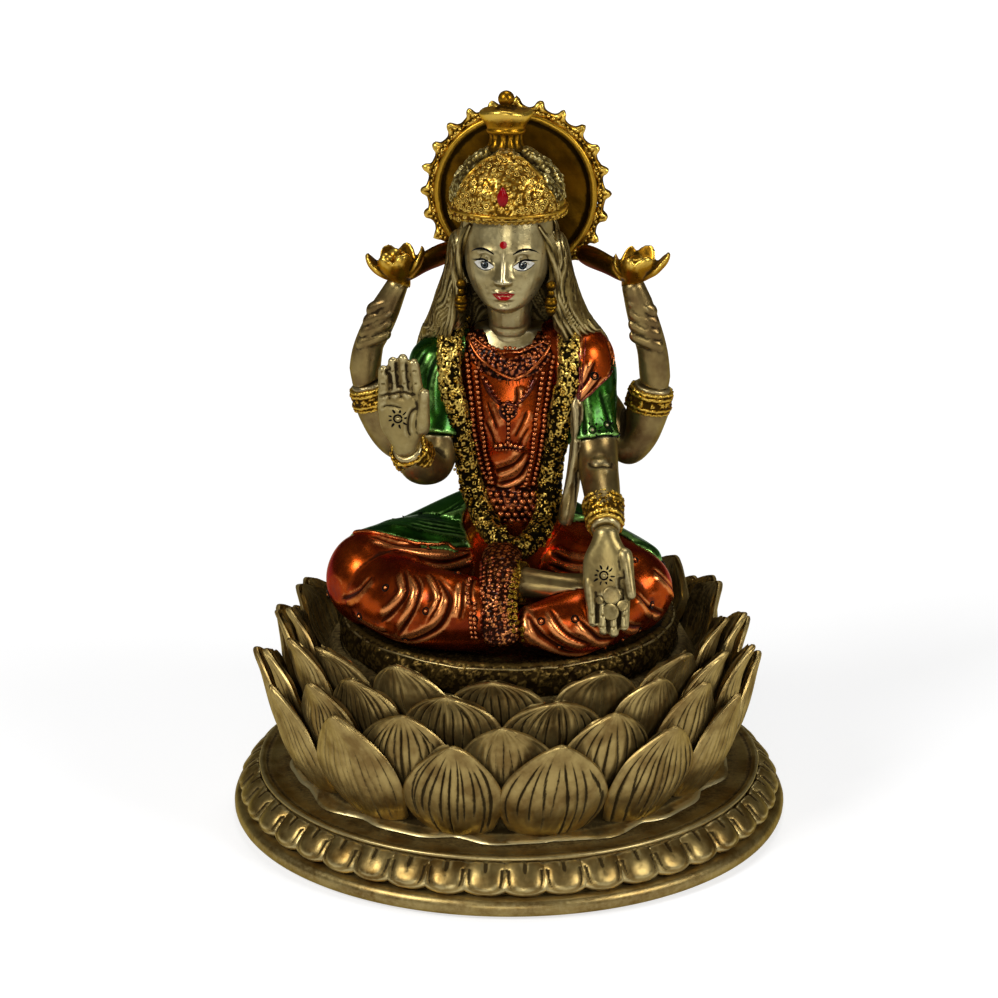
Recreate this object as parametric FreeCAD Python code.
import FreeCAD, Part
import math
import os

# Seated four-armed goddess on a lotus, a table statuette in cold-cast bronze.
# Millimetres, +Z up, the figure faces -Y, the origin is the centre of the underside.
# "Right" and "left" are the goddess's own: her right is -X.

Vec = FreeCAD.Vector
UP = Vec(0, 0, 1)
FRONT = Vec(0, -1, 0)
RING_POINTS = 12                # points that one cross-section is drawn through
CAP_STEPS = (0.96, 0.75, 0.4)   # sections of a rounded end, as shares of its radius
DUST = 0.4                      # mm3: what a trim leaves below this is no piece
FINE = 1e-5                     # tolerance for closing a skin

# ---- plinth
PLINTH_R = 57.0           # widest, round the skirt
PLINTH_H = 11.0           # rim of the plate above the table
SKIRT_H = 4.2             # top of the rounded skirt
SKIRT_FOOT_R = 55.0
PLATE_R = 51.3
PLATE_RIM_W = 0.9         # raised line round the plate
PLATE_DISH = 0.4          # how far the plate lies below that line
TONGUE_SEAT_R = 54.0      # the wall behind the tongues, where it meets the skirt
TONGUES = 44
TONGUE_T = 2.6
TONGUE_GAP = 0.35
FELT_R = 50.0
FELT_T = 1.5
FELT_PROUD = 0.3

# ---- lotus
PETALS = 14
LOTUS_TURN = 3.5          # degrees that the flower is turned on its plinth
SPILL_R = 44.5            # thin flange where the lotus meets the plate
SPILL_T = 0.6
CORE_FOOT_R = 40.0
CORE_BELLY_R = 41.5
CORE_NECK_R = 36.0
CORE_H = 26.5             # from the plate to the ledge that carries the cushion
SPIGOT_R = 12.0
SPIGOT_H = 5.0
SPIGOT_CLEARANCE = 0.15
CUSHION_R = 34.5
CUSHION_H = 6.6
CUSHION_SINK = 0.6        # how deep the cushion sits in the ledge
PIN_R = 1.5
PIN_DEPTH = 14.0          # how far the pin goes into the lotus and into the body
PIN_CLEARANCE = 0.05

# ---- heights on the figure, each from the one below it
WAIST_UP = 26.0           # above the cushion
BUST_UP = 15.0            # above the waist
SHOULDER_UP = 12.5        # above the bust
CHIN_UP = 12.7            # above the shoulder line
BROW_UP = 16.6            # above the chin: the crown's band at the temples
SWAY = 0.6                # the chest stands this far to her left of the plinth's axis

# ---- what is worn
GARLAND_R = 2.2
STRING_R = 0.75
BANGLE_T = 0.75
GEM_H = 3.6
GEM_UP = 6.6              # above the crown's lower edge

# ---- halo and crown
HALO_R = 16.4             # plain disc
HALO_T = 2.4
HALO_RIM_R = 0.75
HALO_TEETH = 24
HALO_TIP_R = 19.4
HALO_VALLEY_R = 17.3
HALO_Y = 12.0
HALO_UP = 17.6            # centre above the chin
CROWN_R = 11.0
CROWN_LEAN = 6.0          # degrees, back
BAND_H = 3.4
DOME_H = 10.2
FINIAL_H = 10.6

PLATE_Z = PLINTH_H - PLATE_DISH
LEDGE_Z = PLATE_Z + CORE_H
SEAT_Z = LEDGE_Z + CUSHION_H - CUSHION_SINK
WAIST_Z = SEAT_Z + WAIST_UP
BUST_Z = WAIST_Z + BUST_UP
SHOULDER_Z = BUST_Z + SHOULDER_UP
CHIN_Z = SHOULDER_Z + CHIN_UP
BROW_Z = CHIN_Z + BROW_UP


# ---------------------------------------------------------------- drawing tools

def unit(vector):
    """The vector at length one."""
    return Vec(vector).normalize()


def through(points, parameters, closed=False):
    """A smooth curve through the points."""
    curve = Part.BSplineCurve()
    curve.interpolate(Points=points, PeriodicFlag=closed, Parameters=parameters)
    return curve


def skin(rings):
    """A solid with one smooth side through rings of points and a flat face at each end."""
    middles = [sum(points, Vec(0, 0, 0)) * (1.0 / len(points)) for points in rings]
    lengths = [0.0]
    for i in range(1, len(rings)):
        step = max((a - b).Length for a, b in zip(rings[i - 1], rings[i]))
        lengths.append(lengths[-1] + max(step, (middles[i] - middles[i - 1]).Length))
    hoops = [through(points, list(range(len(points) + 1)), True) for points in rings]
    columns = [through(list(column), lengths) for column in zip(*[hoop.getPoles() for hoop in hoops])]
    surface = Part.BSplineSurface()
    surface.buildFromPolesMultsKnots([column.getPoles() for column in columns],
                                     hoops[0].getMultiplicities(), columns[0].getMultiplicities(),
                                     hoops[0].getKnots(), columns[0].getKnots(),
                                     True, False, hoops[0].Degree, columns[0].Degree)
    side = surface.toShape()
    ends = [Part.Face(Part.Wire([edge])) for edge in side.Edges if edge.isClosed()]
    solid = Part.Solid(Part.Shell([side] + ends))
    solid.fix(FINE, FINE, FINE)
    return solid if solid.Volume > 0 else solid.reversed()


def turns(count):
    """Angles once round, in radians."""
    return [2 * math.pi * i / count for i in range(count)]


def oval(centre, across, over, half_across, half_over):
    """An elliptical ring of points round a centre, in the plane of two unit vectors."""
    return [centre + across * (half_across * math.cos(a)) + over * (half_over * math.sin(a))
            for a in turns(RING_POINTS)]


def limb(stations, facing=FRONT, round_start=True, round_end=True):
    """A smooth limb through stations (point, half width, half depth towards facing)."""
    last = len(stations) - 1
    rings = []
    for i, (point, width, depth) in enumerate(stations):
        along = unit(stations[min(i + 1, last)][0] - stations[max(i - 1, 0)][0])
        across = unit(along.cross(facing))
        over = unit(across.cross(along))
        reach = min(width, depth)

        def capped(side, share):
            shrink = math.sqrt(1 - share * share)
            return oval(point + along * (side * reach * share), across, over,
                        width * shrink, depth * shrink)

        if i == 0 and round_start:
            rings += [capped(-1, share) for share in CAP_STEPS]
        rings.append(oval(point, across, over, width, depth))
        if i == last and round_end:
            rings += [capped(1, share) for share in reversed(CAP_STEPS)]
    return skin(rings)


def blade(spine, across, half_widths, thickness, cup):
    """A cupped leaf. The spine lists (point, outward normal); its edges fall back by cup."""
    rings = []
    for (point, outward), half in zip(spine, half_widths):
        half_t = thickness / 2 * min(1.0, 0.3 + half / max(half_widths))
        rings.append([point + across * (half * math.cos(a))
                      + outward * (half_t * math.sin(a) - cup * half * math.cos(a) ** 2)
                      for a in turns(RING_POINTS)])
    return skin(rings)


def laid(solid, base, axis):
    """A solid made on Z, stood on another base and axis."""
    solid = solid.copy()
    solid.Placement = FreeCAD.Placement(base, FreeCAD.Rotation(UP, axis)).multiply(solid.Placement)
    return solid


def lathe(outline, base=Vec(0, 0, 0), axis=UP, smooth=False):
    """A solid of revolution from (radius, height) points, joined by lines or one smooth curve."""
    points = [Vec(r, 0, h) for r, h in outline]
    foot, head = Vec(0, 0, points[0].z), Vec(0, 0, points[-1].z)
    if smooth:
        curve = Part.BSplineCurve()
        curve.interpolate(points)
        edges = [curve.toShape()]
    else:
        edges = [Part.makeLine(a, b) for a, b in zip(points, points[1:])]
    if points[-1].x > 0:
        edges.append(Part.makeLine(points[-1], head))
    edges.append(Part.makeLine(head, foot))
    if points[0].x > 0:
        edges.append(Part.makeLine(foot, points[0]))
    return laid(Part.Face(Part.Wire(edges)).revolve(Vec(0, 0, 0), UP, 360), base, axis)


def ellipsoid(centre, rx, ry, rz):
    """An ellipsoid on the main axes."""
    matrix = FreeCAD.Matrix()
    matrix.scale(rx, ry, rz)
    matrix.move(centre)
    return Part.makeSphere(1.0).transformGeometry(matrix)


def tapered_rod(start, end, start_r, end_r):
    """A slim rod with round ends."""
    middle = (start + end) * 0.5
    facing = FRONT if abs(unit(end - start).dot(FRONT)) < 0.8 else UP
    return limb([(start, start_r, start_r), (middle, (start_r + end_r) / 2, (start_r + end_r) / 2),
                 (end, end_r, end_r)], facing)


def trim(guest, *hosts):
    """The guest with its hosts cut out of it, so that it seats on them face to face."""
    tools = [s for host in hosts for s in host.Solids if s.BoundBox.intersect(guest.BoundBox)]
    left = guest.cut(tools) if tools else guest
    return Part.makeCompound([s for s in left.Solids if s.Volume > DUST])


def main_piece(shape):
    """Only the largest solid of a shape."""
    return max(shape.Solids, key=lambda s: s.Volume)


def spread(solid, count, start=0.0):
    """Copies of a solid round the Z axis, the first turned by start degrees."""
    made = []
    for i in range(count):
        copy = solid.copy()
        copy.rotate(Vec(0, 0, 0), UP, start + 360.0 * i / count)
        made.append(copy)
    return Part.makeCompound(made)


def between(low, high, share):
    """The value a share of the way from low to high."""
    return low + (high - low) * share


# ---------------------------------------------------------------- plinth

def plinth_outline():
    """The plinth's turned profile, from the underside out and up to the plate."""
    bulge = [(between(SKIRT_FOOT_R, PLINTH_R, math.sin(math.radians(a))),
              FELT_PROUD + (SKIRT_H - FELT_PROUD) * 0.5 * (1 - math.cos(math.radians(a))))
             for a in (0, 30, 60, 90, 120, 150)]
    return bulge + [(TONGUE_SEAT_R, SKIRT_H), (PLATE_R - 0.6, PLINTH_H - 1.0), (PLATE_R, PLINTH_H - 0.7),
                    (PLATE_R, PLINTH_H), (PLATE_R - PLATE_RIM_W, PLINTH_H),
                    (PLATE_R - PLATE_RIM_W - 0.4, PLATE_Z)]


def make_plinth():
    """The turned plinth with a socket for the lotus and a recess for the felt."""
    body = lathe(plinth_outline())
    socket = Part.makeCylinder(SPIGOT_R + SPIGOT_CLEARANCE, SPIGOT_H + SPIGOT_CLEARANCE,
                               Vec(0, 0, PLATE_Z - SPIGOT_H - SPIGOT_CLEARANCE))
    recess = Part.makeCylinder(FELT_R, FELT_T, Vec(0, 0, 0))
    return body.cut([socket, recess])


def make_felt():
    """The felt disc in the plinth's recess; it carries the statuette."""
    return Part.makeCylinder(FELT_R, FELT_T, Vec(0, 0, 0))


def make_tongues(plinth):
    """Rounded tongues that lap from the plate's rim down to the skirt."""
    half = math.pi * TONGUE_SEAT_R / TONGUES - TONGUE_GAP / 2
    top, toe = Vec(0, -(PLATE_R - 0.5), PLINTH_H - 1.6), Vec(0, -(TONGUE_SEAT_R + 1.2), SKIRT_H + 0.1)
    outward = unit(Vec(0, top.z - toe.z, 0) * -1 + Vec(0, 0, top.y - toe.y))
    spine, widths = [], []
    for share in (0.0, 0.2, 0.45, 0.65, 0.8, 0.92, 0.99):
        swell = 0.9 * math.sin(math.pi * (0.1 + 0.8 * share))
        spine.append((top + (toe - top) * share + outward * swell, outward))
        widths.append(half * math.sqrt(max(1 - max((share - 0.55) / 0.45, 0) ** 2, 0.02)))
    tongue = blade(spine, Vec(1, 0, 0), widths, TONGUE_T, 0.12)
    return spread(main_piece(tongue.cut(plinth)), TONGUES)


# ---------------------------------------------------------------- lotus

def make_core():
    """The bowl that carries the petals, with a spigot below and a recess on top."""
    z = PLATE_Z
    core = lathe([(SPILL_R, z), (SPILL_R - 0.8, z + SPILL_T), (CORE_FOOT_R + 0.6, z + SPILL_T + 0.4),
                  (CORE_FOOT_R, z + 2.2), (CORE_BELLY_R, z + CORE_H * 0.32),
                  (CORE_BELLY_R - 0.8, z + CORE_H * 0.62), (CORE_NECK_R + 2.2, z + CORE_H * 0.86),
                  (CORE_NECK_R, LEDGE_Z)])
    spigot = Part.makeCylinder(SPIGOT_R, SPIGOT_H + 1, Vec(0, 0, z - SPIGOT_H))
    recess = Part.makeCylinder(CUSHION_R, CUSHION_SINK + 1, Vec(0, 0, LEDGE_Z - CUSHION_SINK))
    pin = Part.makeCylinder(PIN_R + PIN_CLEARANCE, PIN_DEPTH + 1,
                            Vec(0, 0, LEDGE_Z - CUSHION_SINK - PIN_DEPTH))
    return core.fuse(spigot).cut([recess, pin])


def petal(foot, belly, tip, half, thickness, cup):
    """One petal facing -Y. Foot, belly and tip are (radius, height) on the lotus's section."""
    spine, widths = [], []
    for share in (0.0, 0.14, 0.32, 0.5, 0.68, 0.83, 0.94, 1.0):
        keep = 1 - share
        radius = keep * keep * foot[0] + 2 * share * keep * belly[0] + share * share * tip[0]
        height = keep * keep * foot[1] + 2 * share * keep * belly[1] + share * share * tip[1]
        run = (2 * keep * (belly[0] - foot[0]) + 2 * share * (tip[0] - belly[0]),
               2 * keep * (belly[1] - foot[1]) + 2 * share * (tip[1] - belly[1]))
        spine.append((Vec(0, -radius, height), unit(Vec(0, -run[1], -run[0]))))
        widths.append(half * petal_width(share))
    return blade(spine, Vec(1, 0, 0), widths, thickness, cup)


def petal_width(share):
    """A petal's width along its length, as a share of its widest."""
    shoulders = 1 - (max(share - 0.45, 0.0) / 0.55) ** 2.3
    return (0.74 + 0.26 * math.sin(math.pi / 2 * min(share / 0.45, 1.0))) * max(shoulders,
                                                                                0.01) ** 0.75 + 0.03


def petal_tiers():
    """The four tiers, outermost first: name, foot, belly, tip, half width, cup, half a pitch or not."""
    z = PLATE_Z
    return [("petals_outer", (CORE_FOOT_R + 2.0, z + 0.9), (CORE_BELLY_R + 9.0, z + 9.5),
             (CORE_BELLY_R + 8.8, z + 23.4), 10.8, 0.22, 0.5),
            ("petals_second", (CORE_BELLY_R + 0.6, z + 8.5), (CORE_BELLY_R + 6.8, z + 16.5),
             (CORE_BELLY_R + 7.2, z + 27.8), 10.0, 0.2, 0.0),
            ("petals_third", (CORE_BELLY_R - 0.4, z + 15.5), (CORE_BELLY_R + 4.2, z + 23.0),
             (CORE_BELLY_R + 4.8, z + 31.9), 9.6, 0.18, 0.5),
            ("petals_inner", (CORE_NECK_R + 3.2, z + 20.5), (CORE_NECK_R + 6.8, z + 27.0),
             (CORE_NECK_R + 6.8, z + 34.4), 9.0, 0.16, 0.0)]


def make_petals(core, cushion):
    """Each tier's petals, cut to sit on the core and behind the tiers outside them."""
    pitch = 360.0 / PETALS
    tiers, outside = {}, []
    for name, foot, belly, tip, half, cup, stagger in petal_tiers():
        one = petal(foot, belly, tip, half, 2.0, cup)
        neighbours = []
        for solid, other in outside:
            offset = (stagger - other) * pitch
            for side in (-1, 0, 1):
                near = solid.copy()
                near.rotate(Vec(0, 0, 0), UP, -offset + side * pitch)
                neighbours.append(near)
        one = main_piece(trim(one, core, cushion, *neighbours))
        outside.append((one, stagger))
        tiers[name] = spread(one, PETALS, stagger * pitch + LOTUS_TURN)
    return tiers


def make_cushion():
    """The round mat under the crossed legs."""
    z = LEDGE_Z - CUSHION_SINK
    edge = [(CUSHION_R - 1.6 + 1.6 * math.sin(math.radians(a)),
             z + CUSHION_H * 0.5 - (CUSHION_H * 0.5) * math.cos(math.radians(a)))
            for a in range(0, 181, 30)]
    hole = Part.makeCylinder(PIN_R + PIN_CLEARANCE, CUSHION_H + 2, Vec(0, 0, z - 1))
    return lathe(edge).cut(hole)


def make_pin():
    """The steel dowel that holds the figure to the lotus."""
    length = 2 * PIN_DEPTH + CUSHION_H - 0.6
    return Part.makeCylinder(PIN_R, length, Vec(0, 0, LEDGE_Z - CUSHION_SINK - PIN_DEPTH + 0.3))


# ---------------------------------------------------------------- body

def torso_sections():
    """The torso from the lap to the neck: (height, middle x, middle y, half width, half depth)."""
    return [(SEAT_Z + 3.0, 0.0, 3.0, 14.5, 10.0), (SEAT_Z + 10.0, 0.3, 2.4, 13.6, 9.8),
            (between(SEAT_Z, WAIST_Z, 0.7), SWAY, 1.2, 10.4, 8.4), (WAIST_Z, SWAY * 1.6, 0.5, 8.8, 7.2),
            (between(WAIST_Z, BUST_Z, 0.5), SWAY * 1.5, 0.0, 9.6, 7.7), (BUST_Z, SWAY, -0.4, 11.4, 9.2),
            (between(BUST_Z, SHOULDER_Z, 0.5), SWAY, 0.0, 12.4, 8.7), (SHOULDER_Z, SWAY, 0.6, 13.0, 7.4),
            (SHOULDER_Z + 3.6, SWAY, 0.9, 10.6, 6.0), (SHOULDER_Z + 6.2, SWAY, 0.4, 6.2, 4.8)]


def chest_y(x, z):
    """Where the torso's front surface lies at x and z, from its sections."""
    rows = torso_sections()
    for low, high in zip(rows, rows[1:]):
        if z <= high[0] or high is rows[-1]:
            share = min(max((z - low[0]) / (high[0] - low[0]), 0.0), 1.0)
            cx, cy, rx, ry = (between(low[k], high[k], share) for k in (1, 2, 3, 4))
            return cy - ry * math.sqrt(max(1 - ((x - cx) / rx) ** 2, 0.0))


def on_chest(x, z, proud=0.0):
    """A point that stands proud of the chest at x and z."""
    return Vec(x, chest_y(x, z) - proud, z)


def make_torso():
    """The draped body, from the lap to the base of the neck."""
    return skin([oval(Vec(cx, cy, z), Vec(1, 0, 0), Vec(0, 1, 0), rx, ry)
                 for z, cx, cy, rx, ry in torso_sections()])


def thigh(side, knee, lift):
    """A thigh from the hip to the knee. Side is -1 for her right, 1 for her left."""
    hip = Vec(side * 8.0, 4.0, SEAT_Z + 9.5)
    return limb([(hip, 9.6, 9.3), ((hip + knee) * 0.5 + Vec(0, 1.5, lift), 9.5, 9.4),
                 (knee, 9.2, knee.z - SEAT_Z + 0.4)], UP)


def make_right_leg():
    """Her right leg under its cloth: thigh, knee and the shin that crosses in front."""
    z = SEAT_Z
    shin = limb([(Vec(-24.6, -14.0, z + 8.4), 8.0, 8.0), (Vec(-18.8, -20.2, z + 8.3), 8.1, 8.3),
                 (Vec(-11.5, -24.5, z + 8.2), 7.6, 8.0), (Vec(-4.0, -26.5, z + 8.0), 6.4, 7.2)], UP)
    return thigh(-1, Vec(-26.8, -10.8, z + 9.3), 0.4).fuse(shin)


def make_left_leg():
    """Her left leg: the knee lies lower and the shin ends beside the sash."""
    z = SEAT_Z
    shin = limb([(Vec(22.8, -15.0, z + 7.4), 7.6, 7.2), (Vec(18.4, -21.4, z + 7.5), 7.6, 7.3),
                 (Vec(13.0, -27.0, z + 7.2), 6.6, 6.2), (Vec(7.0, -29.8, z + 7.4), 3.6, 4.4)], UP)
    return thigh(1, Vec(24.6, -10.8, z + 8.3), 0.2).fuse(shin)


def foot_path():
    """Her right foot, resting sole up on the left calf: (point, half width, half depth)."""
    z = SEAT_Z + 13.6
    return [(Vec(0.5, -22.5, z + 0.2), 3.4, 3.2), (Vec(6.0, -23.8, z + 0.5), 3.2, 2.9),
            (Vec(12.0, -24.0, z), 2.9, 2.6), (Vec(17.5, -22.6, z - 0.3), 3.8, 2.3),
            (Vec(21.5, -21.0, z - 0.8), 3.4, 1.8)]


def make_anklet():
    """The broad band of bells round that ankle."""
    start, end = foot_path()[0][0], foot_path()[1][0]
    return limb([(start, 4.4, 4.2), (start + (end - start) * 0.45, 4.3, 4.1),
                 (start + (end - start) * 0.85, 4.0, 3.8)], UP, False, False)


def make_pleats():
    """The beaded panel that falls from the girdle over the crossed shins."""
    z = SEAT_Z
    return limb([(Vec(0.4, -17.5, z + 18.6), 3.4, 1.6), (Vec(0.4, -24.5, z + 17.6), 3.6, 1.6),
                 (Vec(0.7, -30.2, z + 14.2), 3.6, 1.6), (Vec(1.0, -33.2, z + 9.6), 3.5, 1.5),
                 (Vec(1.4, -34.0, z + 5.8), 3.2, 1.2)], Vec(0, -1, 0.6))


def make_shawl():
    """The green wrap that lies round the hips and runs out over both thighs."""
    z = SEAT_Z
    half = [(Vec(26.0, -6.0, z + 12.4), 6.0, 4.4), (Vec(19.6, 0.2, z + 12.8), 7.4, 5.0),
            (Vec(11.5, 4.8, z + 14.6), 7.8, 6.4)]
    mirrored = [(Vec(-p.x, p.y, p.z + 0.6), w, d) for p, w, d in half]
    return limb(mirrored + [(Vec(0, 7.6, z + 16.8), 7.0, 8.0)] + half[::-1], UP)


# ---------------------------------------------------------------- arms

def shoulder(side):
    """The middle of a front shoulder."""
    return Vec(SWAY + side * 14.2, -1.0, SHOULDER_Z - 0.6)


def arm_paths():
    """Each arm's stations from inside the sleeve to the wrist: (point, half width, half depth)."""
    right, left = shoulder(-1), shoulder(1)
    back_right = Vec(SWAY - 11.6, 4.6, SHOULDER_Z - 4.6)
    back_left = Vec(SWAY + 11.0, 4.6, SHOULDER_Z - 4.6)
    return {
        "front_right": [(right + Vec(0.6, -3.6, -11.0), 4.2, 4.2),
                        (right + Vec(-0.8, -7.0, -18.8), 4.2, 4.3),
                        (right + Vec(-2.6, -13.0, -18.4), 3.9, 3.9),
                        (right + Vec(-4.8, -18.4, -13.0), 3.0, 3.0)],
        "front_left": [(left + Vec(2.0, -3.8, -10.6), 4.3, 4.3), (left + Vec(3.6, -8.6, -18.2), 4.2, 4.1),
                       (left + Vec(4.8, -16.0, -21.6), 3.8, 3.7),
                       (left + Vec(6.1, -24.4, -27.0), 3.0, 2.8)],
        "rear_right": [(back_right, 4.2, 4.2), (back_right + Vec(-6.8, -0.4, -9.0), 4.3, 4.2),
                       (back_right + Vec(-11.8, -1.4, -14.4), 4.3, 4.2),
                       (back_right + Vec(-15.6, -2.4, -9.0), 4.0, 3.9),
                       (back_right + Vec(-17.5, -3.1, -2.0), 3.4, 3.4)],
        "rear_left": [(back_left, 4.2, 4.2), (back_left + Vec(7.4, -0.4, -9.0), 4.5, 4.4),
                      (back_left + Vec(12.2, -1.4, -14.0), 4.5, 4.4),
                      (back_left + Vec(15.6, -2.4, -8.4), 4.2, 4.1),
                      (back_left + Vec(16.9, -3.0, -1.2), 3.6, 3.5)],
    }


ARM_FACING = {"front_right": Vec(1, 0, 0), "front_left": Vec(1, 0, 0), "rear_right": FRONT,
              "rear_left": FRONT}


def make_sleeve(side):
    """A short sleeve, open at the bottom edge over the arm."""
    top = shoulder(side)
    lean = 2.7 if side > 0 else -0.4
    stations = [(top + Vec(-side * 3.0, 0.6, 2.2), 4.8, 4.6), (top, 5.9, 5.8),
                (top + Vec(lean * 0.45, -2.4, -7.6), 5.6, 5.6), (top + Vec(lean, -5.9, -14.6), 5.3, 5.3)]
    return limb(stations, Vec(1, 0, 0), True, False)


def bangle(path, start, end):
    """A band round the last stretch of an arm, from one share of it to another."""
    (low, low_w, low_d), (high, high_w, high_d) = path[-2], path[-1]
    along = high - low
    shares = (start, (start + end) / 2, end)
    swell = (BANGLE_T * 0.8, BANGLE_T, BANGLE_T * 0.8)
    stations = [(low + along * s, between(low_w, high_w, s) + t, between(low_d, high_d, s) + t)
                for s, t in zip(shares, swell)]
    return stations


def make_bangles(name, path, start, end):
    """The bangles at one wrist as a single ridged band."""
    return limb(bangle(path, start, end), ARM_FACING[name], False, False)


# ---------------------------------------------------------------- hands

PALM_LENGTH = 8.6
PALM_HALF = 4.7
PALM_T = 1.7
FINGER_R = 1.2
FINGER_LENGTHS = (7.6, 8.8, 8.3, 6.7)     # index to little
THUMB_LENGTH = 7.6
REAR_REACH = {-1: 6.6, 1: 4.2}            # how far each rear hand leans in from its wrist
FLOWER_UP = 22.2                          # the held flowers above the rear wrists


def hand(wrist, fingers, palm, thumb_side, curl=0.0):
    """An open hand. Fingers and palm are directions; thumb_side is -1 or 1 across them."""
    fingers, palm = unit(fingers), unit(palm)
    side = unit(fingers.cross(palm)) * thumb_side

    def at(across, along, out=0.0):
        return wrist + side * across + fingers * along + palm * out

    solid = limb([(at(0, -1.5), 2.5, 2.1), (at(0, PALM_LENGTH * 0.35), PALM_HALF * 0.95, PALM_T * 1.1),
                  (at(0, PALM_LENGTH * 0.75), PALM_HALF, PALM_T),
                  (at(0, PALM_LENGTH), PALM_HALF * 0.97, PALM_T * 0.8)],
                 palm)
    rods = []
    for i, length in enumerate(FINGER_LENGTHS):
        across = PALM_HALF * (0.74 - 0.49 * i)
        rods.append(tapered_rod(at(across, PALM_LENGTH - 1.2),
                                at(across * 0.86, PALM_LENGTH + length, curl * length),
                                FINGER_R, FINGER_R * 0.8))
    rods.append(tapered_rod(at(PALM_HALF * 0.75, PALM_LENGTH * 0.3, 0.5),
                            at(PALM_HALF * 0.98, PALM_LENGTH * 0.3 + THUMB_LENGTH, 1.1), 1.5, 0.95))
    return solid.fuse(rods)


def rear_hand(path, side):
    """A rear hand as it closes on a flower's stalk, with the fingers bent inwards."""
    wrist = path[-1][0]
    rows = [(-0.05, -0.4, 7.0, 3.4, 2.7), (0.24, -0.9, 11.2, 3.4, 2.6), (0.62, -1.3, 15.6, 3.1, 2.4),
            (0.93, -1.6, 20.0, 2.4, 2.2)]
    body = limb([(wrist, 3.3, 3.1)] + [(wrist + Vec(-side * REAR_REACH[side] * share, dy, dz), wide, deep)
                                       for share, dy, dz, wide, deep in rows], FRONT)
    rods = []
    for i in range(4):
        knuckle = wrist + Vec(side * (1.6 - 0.2 * REAR_REACH[side] * i * 0.5), -2.4, 8.6 + 2.4 * i)
        tip = knuckle + Vec(-side * (6.2 - 0.5 * i), -0.4, 1.6)
        rods.append(tapered_rod(knuckle, tip, FINGER_R, FINGER_R * 0.85))
    return body.fuse(rods)


def flower_base(path, side):
    """Where the held flower's calyx starts."""
    return path[-1][0] + Vec(-side * REAR_REACH[side], -1.6, FLOWER_UP)


def make_flower(base, side):
    """An opening lotus: a calyx, six petals of two lengths and a seed head."""
    axis = unit(Vec(side * 0.15, -0.1, 1))
    across = unit(axis.cross(FRONT))
    depth = unit(across.cross(axis))
    solids = [lathe([(1.9, -2.4), (2.1, -0.6), (2.9, 0.9), (3.0, 1.8)], base, axis),
              lathe([(2.4, 1.0), (2.3, 3.4), (1.3, 4.4)], base, axis)]
    for i, a in enumerate(turns(6)):
        out = across * math.cos(a) + depth * math.sin(a)
        wide = unit(axis.cross(out))
        reach = 5.6 if i in (0, 3) else 4.2
        spine = [(base + axis * h + out * r, unit(out - axis * 0.7))
                 for r, h in ((1.4, -0.4), (reach * 0.6, 1.2), (reach * 0.9, 3.4), (reach, 5.6))]
        solids.append(blade(spine, wide, (1.3, 2.5, 2.3, 0.6), 1.3, 0.25))
    return solids[0].fuse(solids[1:])


def make_flower_stalk(base, side):
    """The stem that runs from a held flower back to the halo's edge."""
    end = Vec(SWAY + side * (HALO_R - 2.4), HALO_Y - 1.8, CHIN_Z + 5.6)
    middle = (base + end) * 0.5 + Vec(0, -1.0, 0.4)
    return limb([(base + Vec(-side * 1.0, 0.5, 0.4), 1.7, 1.7), (middle, 1.8, 1.9), (end, 2.0, 2.0)], UP)


# ---------------------------------------------------------------- head

def make_head():
    """The neck, the face and the skull, up to where the crown sits."""
    x, z = SWAY * 0.25, CHIN_Z
    rows = [(z - 1.6, -8.6, 2.6, 3.4), (z + 0.2, -7.9, 5.0, 6.6), (z + 3.2, -6.8, 7.3, 8.8),
            (z + 7.0, -6.0, 8.7, 9.9),
            (z + 11.0, -5.4, 9.1, 10.2), (z + 15.0, -5.0, 9.1, 10.2), (z + 19.0, -4.8, 8.2, 9.2),
            (z + 22.0, -4.6, 5.2, 6.0)]
    skull = skin([oval(Vec(x, cy, h), Vec(1, 0, 0), Vec(0, 1, 0), rx, ry) for h, cy, rx, ry in rows])
    neck = limb([(Vec(SWAY * 0.7, 0.6, SHOULDER_Z + 1.0), 4.7, 4.6),
                 (Vec(SWAY * 0.5, -1.6, SHOULDER_Z + 7.0), 4.2, 4.2),
                 (Vec(x, -4.0, CHIN_Z + 3.0), 4.6, 4.6)], FRONT, False, True)
    nose = tapered_rod(Vec(x, -15.4, z + 9.6), Vec(x, -17.3, z + 5.4), 0.75, 1.25)
    return skull.fuse([neck, nose])


def make_hair():
    """The mass behind the head, a lock over each shoulder and the fall down the back."""
    x, z = SWAY * 0.25, CHIN_Z
    cap = ellipsoid(Vec(x, -1.4, z + 8.5), 10.4, 10.0, 14.5)
    fall = limb([(Vec(x, 2.0, z + 8.0), 9.0, 6.0), (Vec(x, 5.8, z - 6.0), 11.0, 5.0),
                 (Vec(SWAY, 7.6, BUST_Z + 4.0), 11.5, 3.6),
                 (Vec(SWAY, 7.8, BUST_Z - 8.0), 9.0, 3.2), (Vec(SWAY, 7.4, WAIST_Z + 2.0), 5.0, 2.6)],
                 FRONT)
    locks = []
    for side in (-1, 1):
        top = shoulder(side)
        locks.append(limb([(Vec(x + side * 8.8, -3.6, z + 11.0), 2.8, 3.6),
                           (Vec(x + side * 10.2, -3.2, z + 3.0), 3.2, 3.8),
                           (Vec(x + side * 12.2, -2.2, z - 4.4), 3.8, 3.8),
                           (top + Vec(-side * 0.4, 1.6, 3.8), 4.6, 3.4),
                           (top + Vec(side * 2.0, 5.6, -3.0), 4.2, 3.0),
                           (top + Vec(side * 1.2, 7.0, -11.0), 3.2, 2.4)],
                          FRONT))
    return cap.fuse([fall] + locks)


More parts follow.
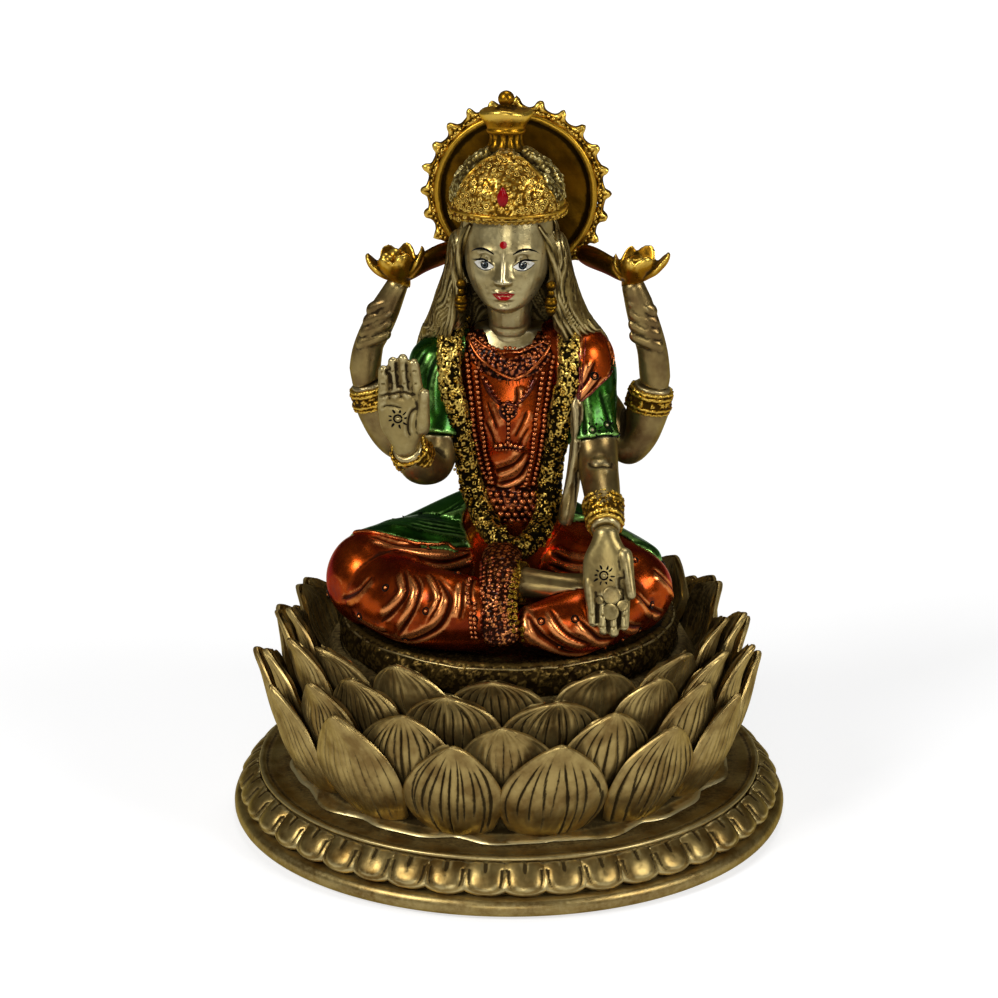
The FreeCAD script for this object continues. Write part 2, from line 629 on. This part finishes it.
def crown_axis():
    """The base and the direction of the crown's axis."""
    lean = math.radians(CROWN_LEAN)
    return Vec(SWAY * 0.25, -4.8, BROW_Z), Vec(-0.03, math.sin(lean), math.cos(lean))


def crown_at(height):
    """The point on the crown's axis at a height."""
    base, axis = crown_axis()
    return base + unit(axis) * height


def make_crown_band():
    """The crown's lower band."""
    base, axis = crown_axis()
    return lathe([(CROWN_R - 0.3, 0), (CROWN_R + 0.3, 0.5), (CROWN_R + 0.5, BAND_H * 0.5),
                  (CROWN_R + 0.2, BAND_H)],
                 base, axis)


def make_crown_dome():
    """The openwork cap above the band."""
    _, axis = crown_axis()
    rows = [(CROWN_R + 0.1, 0.0), (CROWN_R, DOME_H * 0.25), (CROWN_R * 0.91, DOME_H * 0.5),
            (CROWN_R * 0.71, DOME_H * 0.76), (CROWN_R * 0.48, DOME_H * 0.93), (CROWN_R * 0.36, DOME_H)]
    return lathe(rows, crown_at(BAND_H), axis, True)


def make_tiara():
    """The pointed gold plate on the front of the crown."""
    base, axis = crown_axis()
    axis = unit(axis)
    out = unit(FRONT - axis * axis.dot(FRONT))
    across = unit(axis.cross(out))
    outer = lathe([(CROWN_R + 1.1, 0.6), (CROWN_R + 1.2, BAND_H), (CROWN_R + 1.1, BAND_H + DOME_H * 0.25),
                   (CROWN_R * 0.91 + 1.2, BAND_H + DOME_H * 0.5),
                   (CROWN_R * 0.71 + 1.3, BAND_H + DOME_H * 0.76),
                   (CROWN_R * 0.48 + 1.3, BAND_H + DOME_H * 0.93)], base, axis)
    half = [(10.4, 0.3), (10.4, 3.2), (9.2, 4.6), (8.2, 7.0), (6.7, 9.0), (4.4, 11.2), (2.0, 12.6)]
    arch = [(-a, h) for a, h in half] + [(0, 13.6)] + half[::-1]
    face = Part.Face(Part.makePolygon([base + across * a + axis * h for a, h in arch + arch[:1]]))
    return outer.common(face.extrude(out * (CROWN_R * 2)))


def make_finial():
    """The vase and ball on top of the crown."""
    _, axis = crown_axis()
    foot, top = BAND_H + DOME_H, FINIAL_H
    rows = [(4.2, -0.2), (3.6, top * 0.1), (3.4, top * 0.3), (3.9, top * 0.42), (5.5, top * 0.56),
            (5.3, top * 0.63),
            (4.2, top * 0.68), (2.6, top * 0.76), (1.2, top * 0.8)]
    knob = Part.makeSphere(1.75, crown_at(foot + top - 1.6))
    return lathe(rows, crown_at(foot), axis).fuse(knob)


def make_gem(tiara):
    """The red drop set in the tiara."""
    point = crown_at(GEM_UP) + FRONT * (CROWN_R + 1.25)
    return main_piece(trim(ellipsoid(point, GEM_H * 0.33, 1.1, GEM_H * 0.5), tiara))


def make_earrings():
    """A stud with a drop under each ear."""
    x, z = SWAY * 0.25, CHIN_Z
    solids = []
    for side in (-1, 1):
        stud = Part.makeSphere(1.3, Vec(x + side * 8.6, -9.6, z + 4.0))
        drop = tapered_rod(Vec(x + side * 8.7, -9.6, z + 2.4), Vec(x + side * 8.8, -9.6, z - 0.6), 0.7,
                           1.25)
        solids.append(stud.fuse(drop))
    return Part.makeCompound(solids)


def halo_centre():
    """The middle of the halo."""
    return Vec(SWAY * 0.5, HALO_Y, CHIN_Z + HALO_UP)


def make_halo_disc():
    """The dished plain disc with its raised rim."""
    rows = [(HALO_R, -HALO_T / 2), (HALO_R, HALO_T / 2), (HALO_R - 0.4, HALO_T / 2 + HALO_RIM_R * 0.6),
            (HALO_R - 1.2, HALO_T / 2 + HALO_RIM_R * 0.6), (HALO_R - 1.6, HALO_T / 2 - 0.5),
            (HALO_R * 0.5, HALO_T / 2 - 1.0)]
    return lathe(rows, halo_centre(), FRONT)


def make_halo_rays():
    """The ring of blunt flames round the disc."""
    points = []
    steps = 6
    for i in range(HALO_TEETH * steps):
        wave = abs(math.sin(math.pi * i / steps))
        radius = HALO_TIP_R - (HALO_TIP_R - HALO_VALLEY_R) * (1 - (1 - wave) ** 1.4)
        a = 2 * math.pi * i / (HALO_TEETH * steps)
        points.append(halo_centre() + Vec(radius * math.sin(a), -HALO_T * 0.45, radius * math.cos(a)))
    blank = Part.Face(Part.makePolygon(points + points[:1])).extrude(Vec(0, HALO_T * 0.9, 0))
    hole = Part.makeCylinder(HALO_R, HALO_T * 3, halo_centre() + FRONT * (HALO_T * 1.5), FRONT * -1)
    return blank.cut(hole)


# ---------------------------------------------------------------- worn pieces

def mirrored_path(rows, middle):
    """Both sides of a symmetric U-shaped path from its right half, given as (offset, height)."""
    right = [(middle - dx, z) for dx, z in rows]
    left = [(middle + dx, z) for dx, z in reversed(rows) if dx > 0]
    return right + left


def draped(rows, middle, proud, half_width, half_depth):
    """A band that hangs in a U on the chest."""
    stations = [(on_chest(x, z, proud), half_width, half_depth) for x, z in mirrored_path(rows, middle)]
    return limb(stations)


def make_garland():
    """The thick flower garland, from the shoulders over the chest to the lap."""
    rows = [(10.6, SHOULDER_Z + 5.6, 1.2), (11.7, SHOULDER_Z + 5.0, -3.0), (12.0, SHOULDER_Z + 1.4, -6.5),
            (11.6, SHOULDER_Z - 4.0, -7.8), (10.6, BUST_Z + 4.4, -8.0), (9.6, BUST_Z - 2.0, -7.4),
            (8.6, WAIST_Z + 8.0, -6.4), (7.8, WAIST_Z + 2.0, -6.6), (6.2, WAIST_Z - 3.2, -9.4),
            (3.4, WAIST_Z - 6.4, -14.0), (0.0, WAIST_Z - 7.6, -16.6)]
    path = [(-dx, z, y) for dx, z, y in rows] + rows[-2::-1]
    stations = []
    for dx, z, y in path:
        drift = 0.17 * max(WAIST_Z + 4.0 - z, 0.0)
        stations.append((Vec(SWAY + dx + drift, y, z), GARLAND_R, GARLAND_R))
    return limb(stations)


def make_strings():
    """Two long strings of beads inside the garland, as cords."""
    outer = [(8.4, SHOULDER_Z + 2.4), (8.0, SHOULDER_Z - 3.0), (7.4, BUST_Z + 5.0), (6.6, BUST_Z - 2.0),
             (5.8, BUST_Z - 8.0),
             (4.8, WAIST_Z + 3.0)]
    inner = [(6.6, SHOULDER_Z - 1.6), (5.8, BUST_Z + 5.0), (5.0, BUST_Z - 2.0), (4.3, BUST_Z - 8.0),
             (3.4, WAIST_Z + 3.0)]
    strands = []
    for rows in (outer, inner):
        for side in (-1, 1):
            stations = [(on_chest(SWAY + side * x, z, STRING_R * 0.5), STRING_R, STRING_R) for x,
                        z in rows]
            strands.append(limb(stations))
    return strands


def make_collar():
    """The broad necklace that lies round the base of the neck and dips to a point."""
    rows = [(7.4, SHOULDER_Z + 4.6), (6.4, SHOULDER_Z + 2.4), (3.8, SHOULDER_Z + 0.2),
            (0.0, SHOULDER_Z - 1.2)]
    return draped(rows, SWAY, 0.3, 2.6, 0.9)


def make_pendant():
    """A fine chain with its round pendant, drop and cross bar."""
    rows = [(5.2, SHOULDER_Z - 2.6), (3.6, SHOULDER_Z - 5.6), (0.0, SHOULDER_Z - 7.8)]
    chain = draped(rows, SWAY, 0.3, 0.5, 0.6)
    disc = laid(Part.makeCylinder(1.9, 1.4), on_chest(SWAY, SHOULDER_Z - 8.7, -0.3), FRONT)
    drop = tapered_rod(on_chest(SWAY, SHOULDER_Z - 10.0, 0.3), on_chest(SWAY, SHOULDER_Z - 16.2, 0.3),
                       0.6, 0.6)
    bar = tapered_rod(on_chest(SWAY - 2.5, SHOULDER_Z - 16.4, 0.2),
                      on_chest(SWAY + 2.5, SHOULDER_Z - 16.4, 0.2), 0.8, 0.8)
    return chain.fuse([disc, drop, bar])


def make_belt():
    """The girdle of beads over the belly."""
    z = WAIST_Z - 1.4
    stations = [(on_chest(SWAY * 2 + 6.6 * s, z, 0.4), 3.6, 1.2) for s in (-1, -0.5, 0, 0.5, 1)]
    return limb(stations)


def make_shoulder_drape():
    """The end of the sari thrown over the left shoulder, with its slanting hem."""
    top = shoulder(1)
    cloth = limb([(top + Vec(-5.2, 0.4, 4.0), 4.4, 4.6), (top + Vec(-1.4, -0.2, 2.0), 6.4, 6.3),
                  (top + Vec(0.2, -1.2, -3.6), 6.6, 6.7), (top + Vec(0.9, -2.8, -10.0), 6.4, 6.5)],
                  Vec(1, 0, 0))
    hem = Part.makeBox(40, 40, 30)
    hem.Placement = FreeCAD.Placement(top + Vec(-8.0, -20.0, -13.4), FreeCAD.Rotation(Vec(0, 1, 0), -42),
                                      Vec(0, 0, 0))
    hem.translate(unit(Vec(math.sin(math.radians(42)), 0, -math.cos(math.radians(42)))) * 30)
    return main_piece(cloth.cut(hem))


def make_side_fold():
    """The long brass fold that falls beside the garland on her left."""
    rows = [(13.4, BUST_Z + 6.0), (13.6, BUST_Z), (13.3, BUST_Z - 7.0), (12.4, WAIST_Z + 2.0),
            (11.6, WAIST_Z - 3.0)]
    stations = [(Vec(SWAY + x, -7.6 - 0.12 * (BUST_Z + 6.0 - z), z), 1.5, 2.4) for x, z in rows]
    return limb(stations)


def make_coins(wrist, fingers, palm):
    """Two coins that lie on the giving hand."""
    fingers, palm = unit(fingers), unit(palm)
    return [laid(Part.makeCylinder(1.5, 0.9), wrist + fingers * along + palm * (PALM_T - sunk), palm)
            for along, sunk in ((PALM_LENGTH * 0.9, 0.3), (PALM_LENGTH * 1.26, 0.5))]


# ---------------------------------------------------------------- assembly

def build():
    """Every node's shape by name. Each later piece is cut to seat on the earlier ones."""
    nodes = {"plinth_body": make_plinth(), "felt_pad": make_felt(), "lotus_core": make_core(),
             "seat_cushion": make_cushion(), "figure_pin": make_pin()}
    nodes["plinth_tongues"] = make_tongues(nodes["plinth_body"])
    nodes.update(make_petals(nodes["lotus_core"], nodes["seat_cushion"]))
    nodes.update(build_body(nodes["seat_cushion"], nodes["petals_inner"]))
    return nodes


def build_body(cushion, petals):
    """The figure on its cushion."""
    pin_hole = Part.makeCylinder(PIN_R + PIN_CLEARANCE, PIN_DEPTH + 1, Vec(0, 0, SEAT_Z - 1))
    parts = {"torso": main_piece(make_torso().cut([cushion, pin_hole]))}
    torso = parts["torso"]
    parts["right_leg"] = main_piece(trim(make_right_leg(), cushion, torso, pin_hole, petals))
    parts["left_leg"] = main_piece(trim(make_left_leg(), cushion, torso, pin_hole, parts["right_leg"],
                                        petals))
    legs = (parts["right_leg"], parts["left_leg"])
    parts["right_foot"] = main_piece(trim(limb(foot_path(), UP), *legs))
    parts["anklet"] = main_piece(trim(make_anklet(), parts["right_foot"], *legs))
    parts["shawl"] = main_piece(trim(make_shawl(), torso, cushion, *legs))
    parts["pleat_panel"] = main_piece(trim(make_pleats(), torso, cushion, parts["right_foot"],
                                           parts["anklet"], *legs))

    parts["head"] = main_piece(trim(make_head(), torso))
    add_crown(parts)
    for side, word in ((-1, "right"), (1, "left")):
        parts[word + "_sleeve"] = main_piece(trim(make_sleeve(side), torso))
    sleeves = (parts["right_sleeve"], parts["left_sleeve"])
    parts["garland"] = main_piece(trim(make_garland(), torso, parts["head"], parts["pleat_panel"],
                                       *sleeves, *legs))
    add_arms(parts)
    arms = [parts[n] for n in ("front_left_arm", "rear_left_arm")]
    parts["shoulder_drape"] = main_piece(trim(make_shoulder_drape(), torso, parts["head"],
                                              parts["garland"],
                                              *sleeves, *arms))
    parts["side_fold"] = main_piece(trim(make_side_fold(), torso, parts["garland"], parts["shawl"],
                                         parts["shoulder_drape"], *sleeves, *arms, *legs))
    add_ornaments(parts)
    add_hair(parts)
    return parts


def add_crown(parts):
    """The crown's pieces and the halo."""
    band, dome = make_crown_band(), make_crown_dome()
    parts["crown_band"] = band
    parts["crown_dome"] = dome
    parts["crown_finial"] = main_piece(trim(make_finial(), dome))
    parts["crown_tiara"] = main_piece(trim(make_tiara(), band, dome))
    parts["crown_gem"] = make_gem(parts["crown_tiara"])
    parts["head"] = main_piece(trim(parts["head"], band, dome, parts["crown_tiara"]))
    parts["earrings"] = trim(make_earrings(), parts["head"])
    parts["halo_disc"] = main_piece(trim(make_halo_disc(), dome, parts["crown_finial"], parts["head"],
                                         band))
    parts["halo_rays"] = main_piece(trim(make_halo_rays(), parts["crown_finial"]))


def add_arms(parts):
    """Four arms with their bangles, hands and what they hold."""
    paths = arm_paths()
    hosts = [parts[n] for n in ("torso", "right_sleeve", "left_sleeve", "shawl", "garland", "right_leg",
                                "left_leg")]
    for name in ("front_right", "front_left", "rear_right", "rear_left"):
        arm = limb(paths[name], ARM_FACING[name], True, False)
        parts[name + "_arm"] = main_piece(trim(arm, *hosts))
        hosts.append(parts[name + "_arm"])
    spans = {"front_right": (0.42, 0.95), "front_left": (0.3, 0.92), "rear_right": (0.3, 0.9),
             "rear_left": (0.3, 0.9)}
    for name, (start, end) in spans.items():
        bangles = make_bangles(name, paths[name], start, end)
        parts[name + "_bangles"] = main_piece(trim(bangles, *hosts))
    raised = paths["front_right"][-1][0] + Vec(-0.2, -0.6, 1.6)
    giving = paths["front_left"][-1][0] + Vec(0.2, -1.4, -2.0)
    giving_fingers, giving_palm = Vec(0.06, -0.36, -1), Vec(0.0, -1, 0.36)
    parts["front_right_hand"] = hand(raised, Vec(-0.06, -0.16, 1), Vec(0.1, -1, -0.16), 1)
    parts["front_left_hand"] = hand(giving, giving_fingers, giving_palm, -1)
    parts["rear_right_hand"] = rear_hand(paths["rear_right"], -1)
    parts["rear_left_hand"] = rear_hand(paths["rear_left"], 1)
    for name in paths:
        solids = hosts + [parts[name + "_bangles"]]
        parts[name + "_hand"] = main_piece(trim(parts[name + "_hand"], *solids))
    coins = [trim(c, parts["front_left_hand"]) for c in make_coins(giving, giving_fingers, giving_palm)]
    parts["coins"] = Part.makeCompound([s for c in coins for s in c.Solids])
    for name, side in (("rear_right", -1), ("rear_left", 1)):
        base = flower_base(paths[name], side)
        word = "right" if side < 0 else "left"
        flower = make_flower(base, side)
        parts["held_lotus_" + word] = main_piece(trim(flower, parts[name + "_hand"]))
        stalk = trim(make_flower_stalk(base, side), parts["held_lotus_" + word], parts[name + "_hand"],
                     parts["halo_disc"], parts["halo_rays"], parts["head"], parts["crown_band"])
        parts["lotus_stalk_" + word] = main_piece(stalk)


def add_ornaments(parts):
    """The strings, necklaces and girdle that lie on the chest."""
    torso, garland, head = parts["torso"], parts["garland"], parts["head"]
    parts["collar"] = main_piece(trim(make_collar(), torso, head, garland))
    parts["pendant"] = main_piece(trim(make_pendant(), torso, garland, parts["collar"]))
    parts["waist_belt"] = main_piece(trim(make_belt(), torso, garland))
    worn = (parts["collar"], parts["pendant"], parts["waist_belt"])
    strands = [main_piece(trim(strand, torso, garland, *worn)) for strand in make_strings()]
    parts["bead_strings_outer"] = Part.makeCompound(strands[:2])
    parts["bead_strings_inner"] = Part.makeCompound(strands[2:])


def add_hair(parts):
    """The hair, cut clear of all that it lies against."""
    names = ("torso", "head", "crown_band", "crown_dome", "crown_tiara", "halo_disc", "halo_rays",
             "right_sleeve",
             "left_sleeve", "garland", "collar", "shoulder_drape", "earrings", "lotus_stalk_right",
             "lotus_stalk_left", "rear_right_arm", "rear_left_arm", "shawl")
    parts["hair"] = main_piece(trim(make_hair(), *[parts[n] for n in names]))


def main():
    """Writes one STEP file per node."""
    os.makedirs("parts", exist_ok=True)
    for name, shape in sorted(build().items()):
        solids = shape.Solids
        if not solids or not all(s.isValid() for s in solids):
            print("CHECK", name, len(solids), [s.isValid() for s in solids])
        out = solids[0] if len(solids) == 1 else Part.makeCompound(solids)
        out.exportStep(os.path.join("parts", name + ".step"))
        print(f"{name:22s} {len(solids):3d} solids {sum(s.Volume for s in solids):9.1f} mm3")


main()
